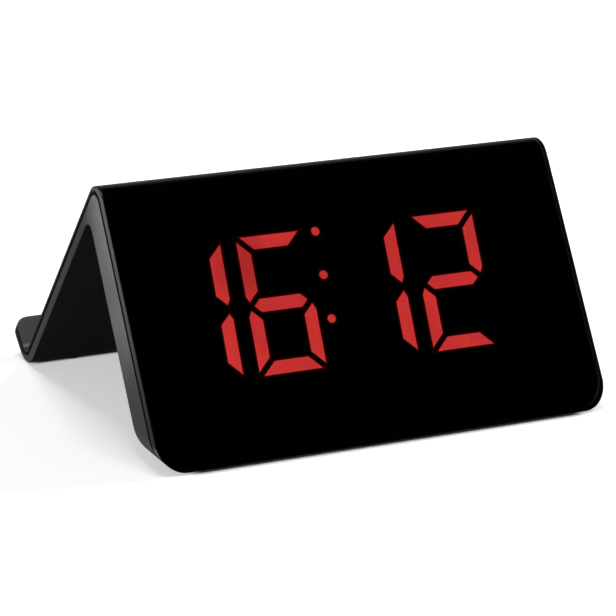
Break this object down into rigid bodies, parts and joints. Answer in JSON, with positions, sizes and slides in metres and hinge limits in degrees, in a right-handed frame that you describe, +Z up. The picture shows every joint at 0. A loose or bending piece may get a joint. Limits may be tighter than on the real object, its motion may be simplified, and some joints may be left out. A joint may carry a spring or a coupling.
{
  "type": "digital led desk clock",
  "caption": "Tent-shaped LED desk clock: a smoked front leg with leaning red digits, and a thin rear leg with an upturned ledge for a phone.",
  "frame": {"origin": "on the table, under the middle of the clock's box", "axes": "+X across the width to the right as seen from the front, the display faces -Y, +Z up"},
  "size_m": [0.16, 0.141, 0.0807],
  "materials": {
    "smoked_cover": "smoked, glossy front",
    "dark_case": "satin moulded",
    "black_block": "matte",
    "lit_guide": "lit diffuser",
    "dark_guide": "unlit diffuser",
    "led_package": "moulded",
    "board": "solder mask",
    "screw_steel": "black zinc",
    "switch_body": "moulded",
    "contact_metal": "plated",
    "cell_steel": "bright nickel",
    "coil_wire": "enamelled copper winding",
    "ferrite": "matte",
    "connector_white": "moulded",
    "lead_skin": "insulated",
    "button_cap": "satin",
    "foot_rubber": "matte"
  },
  "bodies": {
    "case": {"battery_contacts": "contact_metal", "battery_cup": "black_block", "board_screws": "screw_steel", "buzzer": "black_block", "charger_chip": "black_block", "charging_coil": "coil_wire", "clock_chip": "black_block", "coil_connector": "connector_white", "coil_lead": "lead_skin", "coin_cell": "cell_steel", "cover_screws": "screw_steel", "display_reflector": "black_block", "ferrite_disc": "ferrite", "front_feet": "foot_rubber", "inner_cover": "dark_case", "lit_segments": "lit_guide", "main_board": "board", "outer_cover": "smoked_cover", "rear_feet": "foot_rubber", "rear_screws": "screw_steel", "segment_leds": "led_package", "tact_switches": "switch_body", "timing_crystal": "cell_steel", "unlit_segments": "dark_guide", "usb_shell": "cell_steel", "usb_tongue": "switch_body"},
    "time_key": {"time_button": "button_cap", "time_plunger": "switch_body"},
    "alarm_key": {"alarm_button": "button_cap", "alarm_plunger": "switch_body"},
    "down_key": {"down_button": "button_cap", "down_plunger": "switch_body"},
    "up_key": {"up_button": "button_cap", "up_plunger": "switch_body"},
    "snooze_key": {"snooze_button": "button_cap", "snooze_plunger": "switch_body"},
    "door": {"battery_door": "dark_case"}
  },
  "joints": [
    {"name": "time_press", "type": "slide", "parent": "case", "child": "time_key", "axis": [0, -0.8517, 0.524], "range_m": [0, 0.0005], "stiffness_N_per_m": 400, "springref_m": -0.001},
    {"name": "alarm_press", "type": "slide", "parent": "case", "child": "alarm_key", "axis": [0, -0.8517, 0.524], "range_m": [0, 0.0005], "stiffness_N_per_m": 400, "springref_m": -0.001},
    {"name": "down_press", "type": "slide", "parent": "case", "child": "down_key", "axis": [0, -0.8517, 0.524], "range_m": [0, 0.0005], "stiffness_N_per_m": 400, "springref_m": -0.001},
    {"name": "up_press", "type": "slide", "parent": "case", "child": "up_key", "axis": [0, -0.8517, 0.524], "range_m": [0, 0.0005], "stiffness_N_per_m": 400, "springref_m": -0.001},
    {"name": "snooze_press", "type": "slide", "parent": "case", "child": "snooze_key", "axis": [0, -0.8517, 0.524], "range_m": [0, 0.0005], "stiffness_N_per_m": 400, "springref_m": -0.001},
    {"name": "door_turn", "type": "hinge", "parent": "case", "child": "door", "pos_m": [-0.0505, -0.03575, 0.0266], "axis": [0, 0.8517, -0.524], "range_deg": [0, 60]}
  ]
}
